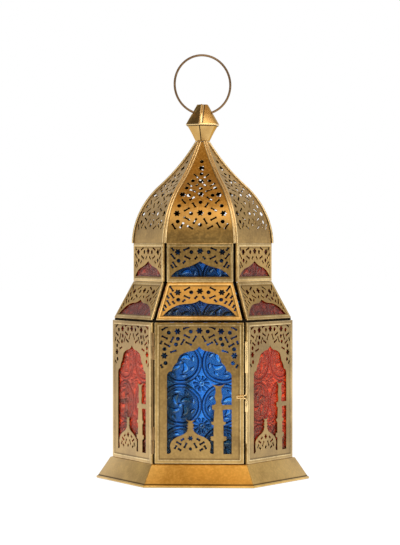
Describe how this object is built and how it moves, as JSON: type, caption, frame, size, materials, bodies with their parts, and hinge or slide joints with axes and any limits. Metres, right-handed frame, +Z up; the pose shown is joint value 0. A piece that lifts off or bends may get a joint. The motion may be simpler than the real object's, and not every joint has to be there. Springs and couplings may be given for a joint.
{
  "type": "ramadan fanous lantern",
  "caption": "Hexagonal brass fanous with fretted panels, pressed coloured glass and an onion dome; its door is hinged and latched by a turning wire, and it hangs from a swinging ring.",
  "frame": {"origin": "centre of the hexagonal foot, on the surface it stands on", "axes": "+Z up along the lantern's axis, -Y towards the door, +X to the right of someone facing the door"},
  "size_m": [0.15, 0.13, 0.2981],
  "materials": {
    "brass": "antique satin, mottled patina",
    "dark_brass": "darkened drawn wire",
    "blue_glass": "pressed floral relief",
    "red_glass": "pressed floral relief"
  },
  "bodies": {
    "frame": {"base_skirt": "brass", "floor_plate": "brass", "candle_cup": "brass", "corner_post_1": "brass", "corner_post_2": "brass", "corner_post_3": "brass", "corner_post_4": "brass", "corner_post_5": "brass", "corner_post_6": "brass", "body_panel_front_right": "brass", "body_pane_front_right": "red_glass", "body_panel_back_right": "brass", "body_pane_back_right": "red_glass", "body_panel_back": "brass", "body_pane_back": "blue_glass", "body_panel_back_left": "brass", "body_pane_back_left": "red_glass", "body_panel_front_left": "brass", "body_pane_front_left": "red_glass", "waist_ring": "brass", "shoulder_panel_front": "brass", "shoulder_pane_front": "blue_glass", "shoulder_panel_front_right": "brass", "shoulder_pane_front_right": "red_glass", "shoulder_panel_back_right": "brass", "shoulder_pane_back_right": "red_glass", "shoulder_panel_back": "brass", "shoulder_pane_back": "blue_glass", "shoulder_panel_back_left": "brass", "shoulder_pane_back_left": "red_glass", "shoulder_panel_front_left": "brass", "shoulder_pane_front_left": "red_glass", "collar_panel_front": "brass", "collar_pane_front": "blue_glass", "collar_panel_front_right": "brass", "collar_pane_front_right": "red_glass", "collar_panel_back_right": "brass", "collar_pane_back_right": "red_glass", "collar_panel_back": "brass", "collar_pane_back": "blue_glass", "collar_panel_back_left": "brass", "collar_pane_back_left": "red_glass", "collar_panel_front_left": "brass", "collar_pane_front_left": "red_glass", "dome_petal_front": "brass", "dome_petal_front_right": "brass", "dome_petal_back_right": "brass", "dome_petal_back": "brass", "dome_petal_back_left": "brass", "dome_petal_front_left": "brass", "finial_lower": "brass", "finial_upper": "brass", "hinge_knuckles_frame": "brass", "latch_knuckles": "brass", "hinge_pin": "dark_brass"},
    "door": {"door_panel": "brass", "door_pane": "blue_glass", "hinge_knuckles_door": "brass"},
    "latch": {"latch_wire": "dark_brass"},
    "ring": {"hanging_ring": "dark_brass"}
  },
  "joints": [
    {"name": "door_hinge", "type": "hinge", "parent": "frame", "child": "door", "pos_m": [-0.03165, -0.05482, 0.06335], "axis": [0, 0, -1], "range_deg": [0, 150]},
    {"name": "latch_turn", "type": "hinge", "parent": "frame", "child": "latch", "pos_m": [0.032, -0.05543, 0.0611], "axis": [0, 0, 1], "range_deg": [0, 150]},
    {"name": "ring_swing", "type": "hinge", "parent": "frame", "child": "ring", "pos_m": [0, 0, 0.25712], "axis": [0.9336, 0.3584, 0], "range_deg": [-140, 140]}
  ]
}
